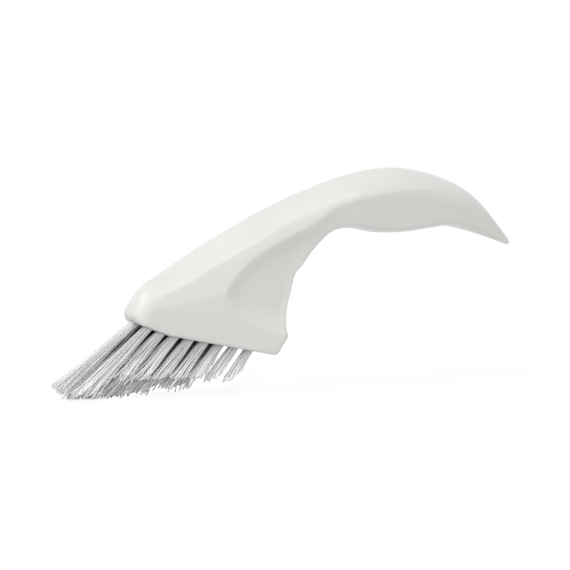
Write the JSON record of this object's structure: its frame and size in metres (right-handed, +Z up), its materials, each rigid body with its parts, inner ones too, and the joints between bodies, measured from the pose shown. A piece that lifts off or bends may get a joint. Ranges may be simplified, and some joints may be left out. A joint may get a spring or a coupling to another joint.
{
  "type": "hand scrub brush",
  "caption": "One-piece moulded white hand brush with a curved handle over a narrow head, and fanned rows of pale nylon tufts slanting forward for scrubbing joints and corners.",
  "frame": {"origin": "bottom centre of the bounding box, on the surface that the longest bristle tips touch", "axes": "+X from the bristle tips and nose to the tail of the handle, +Y across the brush to its right side seen from the tail, +Z up; the brush is in its working pose"},
  "size_m": [0.171, 0.0228, 0.0739],
  "materials": {
    "white_plastic": "satin moulded polypropylene, off-white, roughness about 0.35",
    "nylon_bristle": "bundles of pale grey semi-gloss nylon filaments, lengthwise grain",
    "anchor_wire": "flat bright-drawn steel wire, cut ends"
  },
  "bodies": {
    "root": {"body_moulding": "white_plastic", "tuft_nose": "nylon_bristle", "tuft_middle_1": "nylon_bristle", "tuft_middle_2": "nylon_bristle", "tuft_middle_3": "nylon_bristle", "tuft_middle_4": "nylon_bristle", "tuft_middle_5": "nylon_bristle", "tuft_middle_6": "nylon_bristle", "tuft_left_1": "nylon_bristle", "tuft_left_2": "nylon_bristle", "tuft_left_3": "nylon_bristle", "tuft_left_4": "nylon_bristle", "tuft_left_5": "nylon_bristle", "tuft_left_6": "nylon_bristle", "tuft_left_7": "nylon_bristle", "tuft_left_8": "nylon_bristle", "tuft_right_1": "nylon_bristle", "tuft_right_2": "nylon_bristle", "tuft_right_3": "nylon_bristle", "tuft_right_4": "nylon_bristle", "tuft_right_5": "nylon_bristle", "tuft_right_6": "nylon_bristle", "tuft_right_7": "nylon_bristle", "tuft_right_8": "nylon_bristle", "anchor_nose": "anchor_wire", "anchor_middle_1": "anchor_wire", "anchor_middle_2": "anchor_wire", "anchor_middle_3": "anchor_wire", "anchor_middle_4": "anchor_wire", "anchor_middle_5": "anchor_wire", "anchor_middle_6": "anchor_wire", "anchor_left_1": "anchor_wire", "anchor_left_2": "anchor_wire", "anchor_left_3": "anchor_wire", "anchor_left_4": "anchor_wire", "anchor_left_5": "anchor_wire", "anchor_left_6": "anchor_wire", "anchor_left_7": "anchor_wire", "anchor_left_8": "anchor_wire", "anchor_right_1": "anchor_wire", "anchor_right_2": "anchor_wire", "anchor_right_3": "anchor_wire", "anchor_right_4": "anchor_wire", "anchor_right_5": "anchor_wire", "anchor_right_6": "anchor_wire", "anchor_right_7": "anchor_wire", "anchor_right_8": "anchor_wire"}
  },
  "joints": []
}
